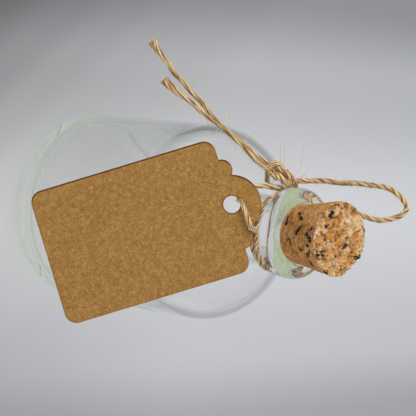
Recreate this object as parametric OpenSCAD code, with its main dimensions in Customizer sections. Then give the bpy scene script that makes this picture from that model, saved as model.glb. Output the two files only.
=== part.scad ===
// Squat glass bottle with a tapered cork, a kraft tag and jute twine round the neck.
// It stands on its base: the origin is at the middle of the foot and +Z is the bottle's axis.
// All sizes are in millimetres.

/* [Glass body] */
// Outer diameter of the body
body_d = 61; // [56:0.5:70]
// Height at which the straight side ends and the shoulder begins
side_h = 61; // [45:1:80]
// Radius of the round shoulder, seen in section
shoulder_r = 21; // [16:0.5:24]
// Radius between the side and the foot
heel_r = 6; // [4:0.5:9]
// Thickness of the side wall
wall = 2.2; // [1.6:0.1:3.2]
// Thickness of the glass over the foot
base_t = 5; // [3.5:0.1:8]
// Radius of the corner inside the base
floor_r = 8; // [4:0.5:12]
// Diameter of the ring that the bottle stands on
foot_d = 44; // [36:0.5:46]
// Depth of the hollow under the base
punt_h = 1.8; // [0.8:0.1:3]

/* [Neck and lip] */
// Outer diameter of the neck
neck_d = 21; // [19.6:0.1:24]
// Diameter of the bore that takes the cork
bore_d = 17.4; // [15:0.1:17.8]
// Length of the neck between the shoulder's top and the lip
neck_h = 14.8; // [12:0.1:20]
// Radius of the hollow corner between shoulder and neck
throat_r = 3; // [2:0.1:4]
// Outer diameter of the rolled lip
lip_d = 27; // [26:0.1:30]
// Height of the rolled lip
lip_h = 6.2; // [5.2:0.1:8]
// Radius of the roll, seen in section
lip_roll_r = 2.4; // [1.8:0.1:2.5]
// Radius of the fire-polished edge inside the mouth
mouth_r = 1; // [0.6:0.1:1.4]

/* [Cork] */
// Diameter of the cork's upper end
cork_d = 22; // [20:0.1:25]
// Length of cork above the mouth
cork_out = 14.6; // [10:0.1:20]
// Length of cork below the mouth
cork_in = 6; // [4:0.1:14]
// Gap between the cork and the bore where they meet
cork_gap = 0.05; // [0.03:0.01:0.1]
// Width of the worn edge round the upper end
cork_edge = 0.4; // [0.3:0.1:1.2]
// Depth of the flat that is broken off the upper edge
chip_depth = 1; // [0.6:0.1:2]

/* [Kraft tag] */
// Width of the tag
tag_w = 40; // [36:0.5:46]
// Length of the tag's plain part
tag_l = 55.7; // [48:0.1:64]
// Thickness of the card
tag_t = 0.5; // [0.3:0.05:0.8]
// Radius of the tag's four corners
tag_corner_r = 3.5; // [2:0.1:5]
// Radius of the round head about the hole
head_r = 8.6; // [7.5:0.1:9.5]
// Radius of the small scallop on each side of the head
scallop_r = 3.2; // [2.6:0.1:3.8]
// Distance of each scallop from the middle of the head
scallop_x = 10.3; // [9.5:0.1:11]
// Diameter of the punched hole
hole_d = 5; // [4.6:0.1:6]
// Tilt of the tag from level
tag_tilt = 43.25; // [40:0.25:48]
// Turn of the tag in its own plane
tag_turn = 24; // [18:0.5:30]

/* [Twine] */
// Diameter of the jute twine
twine_d = 2.1; // [1.8:0.1:2.2]
// Turns of twine round the neck
turns = 2; // [1:1:3]
// Height of one turn over the next, in twine diameters
turn_pitch = 0.9; // [0.85:0.01:0.95]
// Gap between the glass and the twine, and between lip and twine
twine_gap = 0.1; // [0.05:0.01:0.2]
// Length of the knot's core between its round ends
knot_l = 6; // [4:0.1:7]
// Radius of the knot's core, about two strands side by side
knot_r = 2.1; // [1.8:0.1:2.2]

/* [Hidden] */
$fn = 96;
twine_sides = 8; // sides of a loose length of twine
round_sides = 24; // sides of the knot's and the turns' sections
punt_sides = 360; // sides of the large ball that hollows the base
over = 1; // how far a cutting shape runs past the face that it cuts

body_r = body_d / 2;
neck_r = neck_d / 2;
bore_r = bore_d / 2;
lip_r = lip_d / 2;
foot_r = foot_d / 2;
twine_r = twine_d / 2;
shoulder_x = body_r - shoulder_r;
shoulder_top = side_h + shoulder_r;
lip_z = shoulder_top + neck_h;
mouth_z = lip_z + lip_h;

// The hollow corners between shoulder and neck have one middle line, outside and inside the glass.
throat_x = neck_r + throat_r;
inner_throat_r = throat_x - bore_r;

// The hollow under the base is a cap of a large ball.
punt_ball_r = (pow(foot_r, 2) + pow(punt_h, 2)) / (2 * punt_h);

// The inside of the shoulder runs level with the outside, one wall thickness further in.
inner_r = body_r - wall;
inner_shoulder_r = shoulder_r - wall;

// The cork meets the bore where the mouth's rounding ends, and widens from there to its upper end.
seat_z = mouth_z - mouth_r;
seat_cork_r = bore_r - cork_gap;
cork_top_z = mouth_z + cork_out;
cork_low_z = mouth_z - cork_in;
cork_slope = (cork_d / 2 - seat_cork_r) / (cork_top_z - seat_z);
cork_low_r = seat_cork_r - (seat_z - cork_low_z) * cork_slope;
chip_turn = 42; // direction of the broken flat, from +X towards +Y
chip_w = 12;
chip_h = 7;
chip_lean = atan(chip_depth / chip_h);

// The turns of twine lie under the lip, against the neck.
wrap_r = neck_r + twine_gap + twine_r;
turn_step = turn_pitch * twine_d;
wraps_h = (turns - 1) * turn_step;
wrap_z = lip_z - twine_gap - twine_r - wraps_h / 2;

// The tag leans on the turns: the distance of its middle plane from the middle of the turns.
tag_gap = 0.05; // between card and twine
tag_out = wrap_r * sin(tag_tilt) + wraps_h / 2 * cos(tag_tilt) + twine_r + tag_gap + tag_t / 2;

// The lip's roll cuts that plane. The head stops short of where it does.
head_gap = 0.05; // between head and lip
roll_x = lip_r - lip_roll_r;
roll_up = lip_z + lip_roll_r - wrap_z;
roll_off = roll_x * sin(tag_tilt) + roll_up * cos(tag_tilt) - tag_out;
roll_down = roll_x * cos(tag_tilt) - roll_up * sin(tag_tilt)
    + sqrt(max(0, pow(lip_roll_r, 2) - pow(roll_off, 2)));
hole_side = -6.1; // how far the tag hangs to the side of the axis
hole_down = roll_down + head_r + head_gap;
hole_at = [hole_side, -tag_out * sin(tag_tilt) - hole_down * cos(tag_tilt),
           wrap_z + tag_out * cos(tag_tilt) - hole_down * sin(tag_tilt)];

// The knot lies against the turns, on the -X side, and points down along the loose ends.
knot_gap = 0.2; // between knot and turns
knot_side = 188; // direction of the knot, from +X
knot_drop = 1.4; // below the middle of the turns
knot_along = [-2.6, -5.6, -4.8];
knot_out = wrap_r + 2 * twine_r + knot_r + knot_gap;
knot_at = [knot_out * cos(knot_side), knot_out * sin(knot_side), wrap_z - knot_drop];

// Routes of the twine. The first three are measured from the axis and from the middle of the turns.
loop_points = [[-15, -0.5, 0], [-15.5, 2.5, 2], [-16, 5.5, 4], [-16.5, 9.5, 6], [-16.5, 13.5, 8.5],
               [-17, 17, 11.5], [-17, 20.5, 14], [-17, 22.5, 16], [-16.5, 25, 18], [-15, 27, 20],
               [-13, 28.5, 21.5], [-11.5, 29, 22], [-9.5, 28, 21.5], [-8, 26.5, 19.5], [-7, 24, 17.5],
               [-7, 22, 15.5], [-7.5, 20, 13.5], [-8.5, 18, 11], [-9, 16.5, 8.5], [-9, 15, 6],
               [-8.5, 13.5, 3], [-7.5, 11, 0.5], [-6.5, 9.5, 0]];
long_points = [[-16, -1.6, -1.9], [-18.8, -5, -3.8], [-20.7, -7.7, -5.8], [-22.6, -9.8, -7.7],
               [-25.2, -12.4, -10.2], [-28.2, -15.9, -13.7], [-31.3, -18.9, -16.2], [-34.8, -21.5, -18.5],
               [-36.8, -23.5, -20], [-38.6, -25, -21.5], [-40.5, -26.5, -23], [-42.5, -28.5, -24.5],
               [-45, -30, -26], [-47.5, -32, -27.5], [-49.5, -33, -29], [-51, -34, -29.5]];
short_points = [[-15, -3.7, -1.1], [-17.3, -6.5, -2.6], [-19.6, -9.4, -4.6], [-21.9, -11.8, -6.2],
                [-24.7, -14.2, -8.7], [-28.1, -17.7, -12.2], [-30.4, -20.7, -14.7], [-31.8, -22.5, -16.5],
                [-33, -24, -17.5], [-34.5, -25.5, -19], [-36, -27.5, -20.5], [-37.5, -29.5, -22.5],
                [-39, -31, -24], [-40, -32, -24.5]];
// The tie's points are measured from the hole's middle: across the tag, along it, and out of its face.
tie_points = [[-0.7, 15, -9.5], [-1.9, 12, -7.5], [-2.8, 9.5, -5], [-3.2, 7, -3], [-2.6, 4.5, -2],
              [-1.4, 2.6, -1.65], [-0.7, 1.9, -1.3], [-0.4, 1.4, -0.7], [-0.3, 1.3, 0], [-0.2, 1.4, 0.7],
              [0.1, 2, 1.4], [1, 2.7, 1.6], [3, 3.1, 1.6], [5.4, 3.2, 1.6], [7.4, 3.3, 1.6],
              [8.5, 3.8, 1.4], [8.8, 4.1, 0.5], [8.9, 4.2, -0.4], [9.3, 4.3, -1.4]];

// Ways along a route: the direction at each point, and a side direction carried along without twist.
function unit(v) = v / norm(v);
function heading(path, i) = unit(path[min(i + 1, len(path) - 1)] - path[max(i - 1, 0)]);
function carried(side, along) = unit(side - (side * along) * along);
function any_side(along) = carried(abs(along[2]) < 0.8 ? [0, 0, 1] : [1, 0, 0], along);

// One ring of points about a place on the route.
function ring_points(middle, along, side, r) =
    [for (k = [0 : twine_sides - 1])
        middle + r * (cos(360 * k / twine_sides) * side + sin(360 * k / twine_sides) * cross(along, side))];

// Turns a direction of the tag's own frame into the bottle's frame.
function turned(v) =
    [v[0] * cos(tag_turn) - v[1] * sin(tag_turn), v[0] * sin(tag_turn) + v[1] * cos(tag_turn), v[2]];
function tilted(v) =
    [v[0], v[1] * cos(tag_tilt) - v[2] * sin(tag_tilt), v[1] * sin(tag_tilt) + v[2] * cos(tag_tilt)];
function from_wraps(points) = [for (p = points) p + [0, 0, wrap_z]];
function from_hole(points) = [for (p = points) hole_at + tilted(turned(p))];

// A length of twine along a route, closed at both ends.
module twine(path) {
    last = len(path) - 1;
    sides = [for (i = 0, s = any_side(heading(path, 0)); i <= last;
                  i = i + 1, s = carried(s, heading(path, min(i, last)))) s];
    points = [for (i = [0 : last]) each ring_points(path[i], heading(path, i), sides[i], twine_r)];
    walls = [for (i = [0 : last - 1]) for (k = [0 : twine_sides - 1])
        let (n = (k + 1) % twine_sides, a = i * twine_sides, b = a + twine_sides)
        [a + k, b + k, b + n, a + n]];
    first_cap = [for (k = [0 : twine_sides - 1]) k];
    last_cap = [for (k = [twine_sides - 1 : -1 : 0]) last * twine_sides + k];
    polyhedron(points = points, faces = concat([first_cap, last_cap], walls));
}

// Outline of the shoulder, from the side up to the neck: a round arc, and a hollow corner that touches
// both the arc and the neck.
module shoulder_outline(arc_r, corner_r) {
    corner_z = side_h + sqrt(pow(arc_r + corner_r, 2) - pow(throat_x - shoulder_x, 2));
    share = arc_r / (arc_r + corner_r);
    touch = [shoulder_x, side_h] + share * [throat_x - shoulder_x, corner_z - side_h];
    intersection() {
        translate([shoulder_x, side_h]) circle(arc_r);
        translate([0, side_h]) square([body_r, shoulder_r]);
    }
    translate([0, side_h]) square([shoulder_x, arc_r]);
    difference() {
        polygon([[0, side_h], [shoulder_x, side_h], touch, [throat_x, corner_z], [0, corner_z]]);
        translate([throat_x, corner_z]) circle(corner_r);
    }
}

// Outline of the outside of the glass, in section: the side of the axis that is turned.
module glass_outside() {
    translate([0, heel_r]) square([body_r, side_h - heel_r]);
    square([body_r - heel_r, side_h]);
    translate([body_r - heel_r, heel_r]) circle(heel_r);
    shoulder_outline(shoulder_r, throat_r);
    square([neck_r, lip_z + lip_h / 2]);
    lip_outline();
}

// Outline of the rolled lip: two round edges joined by a short straight side.
module lip_outline() {
    translate([roll_x, lip_z + lip_roll_r]) circle(lip_roll_r);
    translate([roll_x, mouth_z - lip_roll_r]) circle(lip_roll_r);
    translate([0, lip_z]) square([roll_x, lip_h]);
    translate([0, lip_z + lip_roll_r]) square([lip_r, lip_h - 2 * lip_roll_r]);
}

// Outline of the hollow inside the glass.
module glass_inside() {
    translate([0, base_t + floor_r]) square([inner_r, side_h - base_t - floor_r]);
    translate([0, base_t]) square([inner_r - floor_r, side_h - base_t]);
    translate([inner_r - floor_r, base_t + floor_r]) circle(floor_r);
    shoulder_outline(inner_shoulder_r, inner_throat_r);
    translate([0, side_h]) square([bore_r, mouth_z - side_h + over]);
    // The edge inside the mouth is rounded by melting.
    difference() {
        translate([0, seat_z]) square([bore_r + mouth_r, mouth_r + over]);
        translate([bore_r + mouth_r, seat_z]) circle(mouth_r);
    }
}

module glass_bottle() {
    color([0.80, 0.88, 0.80, 0.45])
    rotate_extrude()
    difference() {
        intersection() {
            glass_outside();
            square([body_r + over, mouth_z + over]);
        }
        intersection() {
            glass_inside();
            translate([0, base_t]) square([body_r, mouth_z]);
        }
        translate([0, punt_h - punt_ball_r]) circle(punt_ball_r, $fn = punt_sides);
    }
}

// The cork tapers to its lower end. A flat is broken off its upper edge.
module cork_stopper() {
    color([0.76, 0.56, 0.34])
    difference() {
        rotate_extrude()
        polygon([[0, cork_low_z], [cork_low_r - cork_edge, cork_low_z],
                 [cork_low_r + cork_edge * cork_slope, cork_low_z + cork_edge],
                 [cork_d / 2 - cork_edge * cork_slope, cork_top_z - cork_edge],
                 [cork_d / 2 - cork_edge, cork_top_z], [0, cork_top_z]]);
        rotate([0, 0, chip_turn])
        translate([cork_d / 2 - chip_depth, 0, cork_top_z])
        rotate([0, -chip_lean, 0])
        translate([0, -chip_w / 2, -chip_h])
        cube([chip_h, chip_w, chip_h + over]);
    }
}

// A rectangle with round corners. Its lower edge lies on the X axis.
module round_cornered(width, length, r) {
    translate([r - width / 2, 0]) square([width - 2 * r, length]);
    translate([-width / 2, r]) square([width, length - 2 * r]);
    for (x = [r - width / 2, width / 2 - r])
        for (y = [r, length - r])
            translate([x, y]) circle(r);
}

// The tag hangs by its hole: a plain card whose head has a round middle and a scallop on each side.
module kraft_tag() {
    color([0.64, 0.48, 0.28])
    translate(hole_at)
    rotate([tag_tilt, 0, 0])
    rotate([0, 0, tag_turn])
    translate([0, 0, -tag_t / 2])
    linear_extrude(tag_t)
    difference() {
        union() {
            translate([0, -tag_l]) round_cornered(tag_w, tag_l, tag_corner_r);
            circle(head_r);
            for (x = [-scallop_x, scallop_x])
                translate([x, 0]) circle(scallop_r);
        }
        circle(hole_d / 2);
    }
}

module neck_wraps() {
    color([0.74, 0.58, 0.36])
    rotate_extrude()
    for (i = [0 : turns - 1])
        translate([wrap_r, wrap_z + wraps_h / 2 - i * turn_step])
        circle(twine_r, $fn = round_sides);
}

// The knot's core is two strands pressed side by side, with a bight of twine drawn round them.
module knot() {
    along = unit(knot_along);
    color([0.72, 0.56, 0.34])
    translate(knot_at)
    rotate([0, acos(along[2]), atan2(along[1], along[0])]) {
        cylinder(h = knot_l, r = knot_r, center = true, $fn = round_sides);
        for (z = [-knot_l / 2, knot_l / 2])
            translate([0, 0, z]) sphere(knot_r, $fn = round_sides);
        for (z = [-turn_step / 2, turn_step / 2])
            translate([0, 0, z]) rotate_extrude() translate([knot_r, 0]) circle(twine_r, $fn = round_sides);
    }
}

module hang_loop() {
    color([0.74, 0.58, 0.36]) twine(from_wraps(loop_points));
}

module tail_long() {
    color([0.74, 0.58, 0.36]) twine(from_wraps(long_points));
}

module tail_short() {
    color([0.74, 0.58, 0.36]) twine(from_wraps(short_points));
}

module tag_tie() {
    color([0.74, 0.58, 0.36]) twine(from_hole(tie_points));
}

glass_bottle();
cork_stopper();
kraft_tag();
neck_wraps();
knot();
hang_loop();
tail_long();
tail_short();
tag_tie();
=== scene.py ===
"""Looks of a squat glass bottle with a tapered cork, a kraft tag and jute twine.

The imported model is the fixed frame: the bottle stands on its base, with the origin at the middle of
its foot and +Z along its axis. Sizes here are in millimetres, and become metres where a mesh is made.
"""

import logging
import math
import random
from collections.abc import Callable, Iterable, Sequence
from dataclasses import dataclass, field, replace
from enum import Enum

import bmesh
import bpy
from mathutils import Matrix, Vector, noise
from mathutils.geometry import intersect_point_line

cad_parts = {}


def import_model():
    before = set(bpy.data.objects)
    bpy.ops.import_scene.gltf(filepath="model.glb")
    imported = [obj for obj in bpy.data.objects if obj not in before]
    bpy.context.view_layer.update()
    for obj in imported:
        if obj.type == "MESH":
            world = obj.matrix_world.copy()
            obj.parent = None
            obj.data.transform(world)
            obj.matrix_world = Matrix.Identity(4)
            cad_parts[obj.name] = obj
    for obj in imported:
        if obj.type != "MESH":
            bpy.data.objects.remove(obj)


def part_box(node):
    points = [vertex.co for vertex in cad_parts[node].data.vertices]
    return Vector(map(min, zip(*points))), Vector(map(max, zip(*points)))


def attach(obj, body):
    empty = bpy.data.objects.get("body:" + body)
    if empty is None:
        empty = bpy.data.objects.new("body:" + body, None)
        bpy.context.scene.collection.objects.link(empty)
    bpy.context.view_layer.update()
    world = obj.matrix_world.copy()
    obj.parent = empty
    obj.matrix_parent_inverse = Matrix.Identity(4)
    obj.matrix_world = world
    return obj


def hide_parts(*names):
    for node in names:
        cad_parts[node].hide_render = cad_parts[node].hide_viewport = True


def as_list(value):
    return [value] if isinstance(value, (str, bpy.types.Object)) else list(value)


MM = 0.001
MIX_A, MIX_B, MIX_RESULT = 6, 7, 2  # a Mix node's two colour inputs and its colour output
NOISE_SEED = 1  # so that the cork's granules come out the same each time

log = logging.getLogger("bottle")


class Body(Enum):
    """The bodies that pieces move with."""

    BOTTLE = "bottle"
    CORK = "cork"


class Slot(Enum):
    """The record's material slots."""

    GLASS = "glass"
    CORK = "cork"
    CARD = "kraft_card"
    JUTE = "jute"


def linear(code: str) -> tuple[float, float, float, float]:
    """Turns an sRGB hex colour into a linear one.

    Args:
        code: The colour as "#RRGGBB".

    Returns:
        Red, green, blue and an alpha of 1.
    """
    channels = [int(code[i:i + 2], 16) / 255 for i in (1, 3, 5)]
    red, green, blue = (c / 12.92 if c <= 0.04045 else ((c + 0.055) / 1.055) ** 2.4 for c in channels)
    return red, green, blue, 1.0


def add_node(
    tree: bpy.types.NodeTree,
    kind: str,
    settings: dict[str | int, object] | None = None,
    links: dict[str | int, bpy.types.NodeSocket] | None = None,
) -> bpy.types.Node:
    """Adds a node with its settings and links.

    Args:
        tree: The node tree.
        kind: The node's type, less its leading "ShaderNode".
        settings: Values of the node's inputs, by name or number, or of its own properties. "stops"
            holds a colour ramp's (place, colour) pairs.
        links: The outputs that feed the node's inputs, by the input's name or number.

    Returns:
        The node.
    """
    node = tree.nodes.new("ShaderNode" + kind)
    for name, value in (settings or {}).items():
        if name == "stops":
            ramp = node.color_ramp
            while len(ramp.elements) < len(value):
                ramp.elements.new(1.0)
            for element, (place, colour) in zip(ramp.elements, value):
                element.position = place
                element.color = linear(colour)
        elif isinstance(name, int) or name in node.inputs:
            node.inputs[name].default_value = value
        else:
            setattr(node, name, value)
    for name, source in (links or {}).items():
        tree.links.new(source, node.inputs[name])
    return node


def new_material(name: str) -> tuple[bpy.types.Material, bpy.types.NodeTree]:
    """Makes a node material that is still empty.

    Args:
        name: The material's name.

    Returns:
        The material and its tree.
    """
    material = bpy.data.materials.new(name)
    material.use_nodes = True
    material.node_tree.nodes.clear()
    return material, material.node_tree


def per_metre(size: float) -> float:
    """Gives a texture's scale for marks of a size in millimetres."""
    return 1 / (size * MM)


def place_in_scene(name: str, data: bpy.types.ID) -> bpy.types.Object:
    """Makes an object of a mesh, curve, lamp or camera, at the scene's origin."""
    thing = bpy.data.objects.new(name, data)
    bpy.context.scene.collection.objects.link(thing)
    return thing


def show(
    name: str,
    mesh: bpy.types.Mesh,
    material: bpy.types.Material,
    body: Body,
    slot: Slot,
    nodes: Sequence[str] = (),
) -> bpy.types.Object:
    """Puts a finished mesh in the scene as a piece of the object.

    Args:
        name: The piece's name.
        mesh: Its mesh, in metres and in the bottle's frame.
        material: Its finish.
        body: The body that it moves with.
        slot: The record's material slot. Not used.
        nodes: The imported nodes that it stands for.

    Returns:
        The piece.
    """
    for face in mesh.polygons:
        face.use_smooth = True
    mesh.materials.clear()
    mesh.materials.append(material)
    piece = place_in_scene(name, mesh)
    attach(piece, body.value)
    if nodes:
        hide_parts(*nodes)
    log.info("%s: %d faces on %s", name, len(mesh.polygons), body.value)
    return piece


def evaluated_mesh(thing: bpy.types.Object) -> bpy.types.Mesh:
    """Takes the mesh of an object as its modifiers or its curve settings leave it, and deletes the object.

    Args:
        thing: A mesh or curve object of the scene.

    Returns:
        The new mesh.
    """
    bpy.context.view_layer.update()
    graph = bpy.context.evaluated_depsgraph_get()
    mesh = bpy.data.meshes.new_from_object(thing.evaluated_get(graph))
    bpy.data.objects.remove(thing)
    return mesh


def arc(cx: float, cz: float, radius: float, start: float, end: float, steps: int) -> list[Vector]:
    """Points along an arc of a section in the XZ plane.

    Args:
        cx: The centre's distance from the axis.
        cz: The centre's height.
        radius: The arc's radius.
        start: The first point's angle from +X, in degrees.
        end: The last point's angle.
        steps: How many stretches the arc has.

    Returns:
        The points, in millimetres.
    """
    angles = [math.radians(start + (end - start) * i / steps) for i in range(steps + 1)]
    return [Vector((cx + radius * math.cos(a), 0.0, cz + radius * math.sin(a))) for a in angles]


def around(angle: float, radius: float = 1.0, z: float = 0.0) -> Vector:
    """Gives the place at an angle round the Z axis, in radians."""
    return Vector((radius * math.cos(angle), radius * math.sin(angle), z))


def upright(x: float, start: float, end: float, steps: int = 12) -> list[Vector]:
    """Gives the points between the two ends of an upright stretch of a section, in millimetres."""
    return [Vector((x, 0, start + (end - start) * i / steps)) for i in range(1, steps)]


def spun(section: Sequence[Vector], steps: int) -> bmesh.types.BMesh:
    """Turns a section about the Z axis into a closed shell.

    Args:
        section: The section's points in millimetres, from the axis round to the axis.
        steps: How many stretches one turn has.

    Returns:
        The shell, in metres, with its faces pointing outwards.
    """
    shell = bmesh.new()
    ring = [shell.verts.new(p * MM) for p in section]
    edges = [shell.edges.new(pair) for pair in zip(ring, ring[1:])]
    bmesh.ops.spin(shell, geom=ring + edges, axis=(0, 0, 1), cent=(0, 0, 0), angle=math.tau,
                   steps=steps, use_merge=True)
    bmesh.ops.remove_doubles(shell, verts=shell.verts, dist=1e-6)
    bmesh.ops.recalc_face_normals(shell, faces=shell.faces)
    return shell


def to_mesh(shape: bmesh.types.BMesh, name: str) -> bpy.types.Mesh:
    """Writes a bmesh to a new mesh and frees it.

    Args:
        shape: The bmesh.
        name: The mesh's name.

    Returns:
        The mesh.
    """
    mesh = bpy.data.meshes.new(name)
    shape.to_mesh(mesh)
    shape.free()
    return mesh


def closed_tubes(mesh: bpy.types.Mesh) -> bpy.types.Mesh:
    """Closes the ends of swept tubes and points their faces outwards.

    Args:
        mesh: The tubes, which are changed in place.

    Returns:
        The same mesh.
    """
    shape = bmesh.new()
    shape.from_mesh(mesh)
    bmesh.ops.holes_fill(shape, edges=[e for e in shape.edges if e.is_boundary])
    bmesh.ops.recalc_face_normals(shape, faces=shape.faces)
    shape.to_mesh(mesh)
    shape.free()
    return mesh


def new_curve(name: str) -> bpy.types.Curve:
    """Makes the data of a curve in space."""
    curve = bpy.data.curves.new(name, "CURVE")
    curve.dimensions = "3D"
    return curve


def add_line(curve: bpy.types.Curve, places: Sequence[Vector]) -> bpy.types.Spline:
    """Adds a line to a curve.

    Args:
        curve: The curve's data.
        places: The line's points, in millimetres.

    Returns:
        The line.
    """
    spline = curve.splines.new("POLY")
    spline.points.add(len(places) - 1)
    for point, place in zip(spline.points, places):
        point.co = (*(place * MM), 1.0)
    return spline


def vertex_values(mesh: bpy.types.Mesh, *names: str) -> list[bpy.types.bpy_prop_collection]:
    """Adds a mesh's numbers that its material reads, one for each vertex.

    Args:
        mesh: The mesh.
        names: The numbers' names.

    Returns:
        For each name, its values.
    """
    for name in names:
        mesh.attributes.new(name, "FLOAT", "POINT")
    return [mesh.attributes[name].data for name in names]


def smooth_share(low: float, high: float, value: float) -> float:
    """Gives 0 below low, 1 above high and a smooth step between them."""
    share = min(max((value - low) / (high - low), 0.0), 1.0)
    return share * share * (3 - 2 * share)


def near_angle(degrees: float, middle: float, inner: float, outer: float) -> float:
    """Gives 1 within an inner angle of a middle one, 0 beyond an outer angle, and a smooth step between."""
    return 1 - smooth_share(inner, outer, abs((degrees - middle + 180) % 360 - 180))


@dataclass(frozen=True)
class BlownGlass:
    """Soda-lime glass, blown and fire-polished: smooth, clear in a thin wall and green where it is thick."""

    ior: float = 1.5
    roughness: float = 0.0
    clear: str = "#FCFCFC"  # what a wall lets through to the things round about
    depth_colour: str = "#CBE770"
    depth_density: float = 4.0  # per metre
    wave_size: float = 9.0
    wave_height: float = 0.015

    def material(self) -> bpy.types.Material:
        """Builds the material. Light from the lamps and from round about reaches what is behind it.

        Returns:
            The material.
        """
        material, tree = new_material("blown_glass")
        place = add_node(tree, "TexCoord")
        waves = add_node(tree, "TexNoise", {"Scale": per_metre(self.wave_size), "Detail": 1.0},
                         {"Vector": place.outputs["Object"]})
        bump = add_node(tree, "Bump", {"Strength": 1.0, "Distance": self.wave_height * MM},
                        {"Height": waves.outputs["Fac"]})
        surface = add_node(
            tree, "BsdfPrincipled",
            {"Base Color": linear("#FFFFFF"), "Roughness": self.roughness, "IOR": self.ior,
             "Transmission Weight": 1.0},
            {"Normal": bump.outputs["Normal"]})
        clear = add_node(tree, "BsdfTransparent", {"Color": linear(self.clear)})
        path = add_node(tree, "LightPath")
        for ray in ("Is Diffuse Ray", "Is Shadow Ray"):
            surface = add_node(tree, "MixShader", {},
                               {0: path.outputs[ray], 1: surface.outputs[0], 2: clear.outputs[0]})
        inside = add_node(tree, "VolumeAbsorption",
                          {"Color": linear(self.depth_colour), "Density": self.depth_density})
        add_node(tree, "OutputMaterial", {}, {"Surface": surface.outputs[0], "Volume": inside.outputs[0]})
        return material


@dataclass(frozen=True)
class PressedCork:
    """Agglomerated cork, pressed from granules and cut: dry, matt, with dark bark between pale grains."""

    darkest: str = "#AC6B29"
    side: str = "#CD8E3E"
    pale: str = "#E6B87E"
    palest: str = "#FBE3BE"
    bark: str = "#222127"
    seam: str = "#613A1A"
    grain_size: float = 0.35  # cells of the cork itself, drawn coarse enough to show
    grain_height: float = 0.22

    def material(self) -> bpy.types.Material:
        """Builds the material. It reads the numbers that the cork's mesh carries.

        Returns:
            The material.
        """
        material, tree = new_material("pressed_cork")
        place = add_node(tree, "TexCoord")
        granule, seam, bark = (add_node(tree, "Attribute", {"attribute_name": name}).outputs["Fac"]
                               for name in ("granule", "seam", "bark"))
        base = add_node(
            tree, "ValToRGB",
            {"stops": [(0.0, self.darkest), (0.35, self.side), (0.7, self.pale), (1.0, self.palest)]},
            {"Fac": granule})
        cells = add_node(tree, "TexNoise", {"Scale": per_metre(self.grain_size), "Detail": 4.0,
                                            "Roughness": 0.7}, {"Vector": place.outputs["Object"]})
        mottle = add_node(tree, "ValToRGB", {"stops": [(0.3, "#A88A70"), (0.5, "#F0E6DC"), (0.7, "#FFFFFF")]},
                          {"Fac": cells.outputs["Fac"]})
        colour = add_node(tree, "Mix", {"data_type": "RGBA", "blend_type": "MULTIPLY", 0: 0.75},
                          {MIX_A: base.outputs["Color"], MIX_B: mottle.outputs["Color"]})
        for share, code in ((seam, self.seam), (bark, self.bark)):
            colour = add_node(tree, "Mix", {"data_type": "RGBA", MIX_B: linear(code)},
                              {0: share, MIX_A: colour.outputs[MIX_RESULT]})
        bump = add_node(tree, "Bump", {"Strength": 1.0, "Distance": self.grain_height * MM},
                        {"Height": cells.outputs["Fac"]})
        skin = add_node(tree, "BsdfPrincipled", {"Roughness": 0.85, "IOR": 1.45},
                        {"Base Color": colour.outputs[MIX_RESULT], "Normal": bump.outputs["Normal"]})
        add_node(tree, "OutputMaterial", {}, {"Surface": skin.outputs[0]})
        return material


@dataclass(frozen=True)
class KraftCard:
    """Uncoated kraft card, die-cut: matt brown with short fibres, and a darker rim along its edges, which is
    painted shade along its upper edges.
    """

    dark: str = "#80582A"
    middle: str = "#A1753A"
    light: str = "#C39B60"
    # the darker rim, which is painted shade along the card's upper edges
    rim: str = "#66390F"
    cloud_size: float = 1.5
    fleck_size: float = 0.36
    fibre_length: float = 1.25
    fibre_slimness: float = 4.5
    fibre_turns: tuple[float, ...] = (10.0, 55.0, 100.0, 145.0)  # of the four lays of fibres, in degrees
    fibre_height: float = 0.05

    def material(self, turn: Matrix) -> bpy.types.Material:
        """Builds the material.

        Args:
            turn: The tag's own frame, in whose plane the fibres lie.

        Returns:
            The material.
        """
        material, tree = new_material("kraft_card")
        place = add_node(tree, "TexCoord").outputs["Object"]
        layers = [(self.cloud_size, 2.0, place), (self.fleck_size, 5.0, place)]
        for angle in self.fibre_turns:
            lie = (turn.to_3x3() @ Matrix.Rotation(math.radians(angle), 3, "Z")).inverted().to_euler()
            turned = add_node(tree, "Mapping", {"Rotation": lie}, {"Vector": place})
            slim = add_node(tree, "Mapping", {"Scale": (1.0, self.fibre_slimness, self.fibre_slimness)},
                            {"Vector": turned.outputs["Vector"]})
            layers.append((self.fibre_length, 2.0, slim.outputs["Vector"]))
        total = None
        for size, detail, vector in layers:
            layer = add_node(tree, "TexNoise", {"Scale": per_metre(size), "Detail": detail, "Roughness": 0.7},
                             {"Vector": vector}).outputs["Fac"]
            total = layer if total is None else add_node(tree, "Math", {"operation": "ADD"},
                                                         {0: total, 1: layer}).outputs[0]
        share = add_node(tree, "Math", {"operation": "DIVIDE", 1: float(len(layers))}, {0: total})
        tint = add_node(tree, "ValToRGB",
                        {"stops": [(0.39, self.dark), (0.5, self.middle), (0.61, self.light)]},
                        {"Fac": share.outputs[0]})
        # the darker rim, which is painted shade along the card's upper edges
        rim = add_node(tree, "Attribute", {"attribute_name": "rim"})
        rim_and_painted_shade_mix = add_node(tree, "Mix", {"data_type": "RGBA", MIX_B: linear(self.rim)},
                          {0: rim.outputs["Fac"], MIX_A: tint.outputs["Color"]})
        bump = add_node(tree, "Bump", {"Strength": 0.5, "Distance": self.fibre_height * MM},
                        {"Height": share.outputs[0]})
        skin = add_node(tree, "BsdfPrincipled", {"Roughness": 0.8, "IOR": 1.45},
                        {"Base Color": rim_and_painted_shade_mix.outputs[MIX_RESULT], "Normal": bump.outputs["Normal"]})
        add_node(tree, "OutputMaterial", {}, {"Surface": skin.outputs[0]})
        return material


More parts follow.
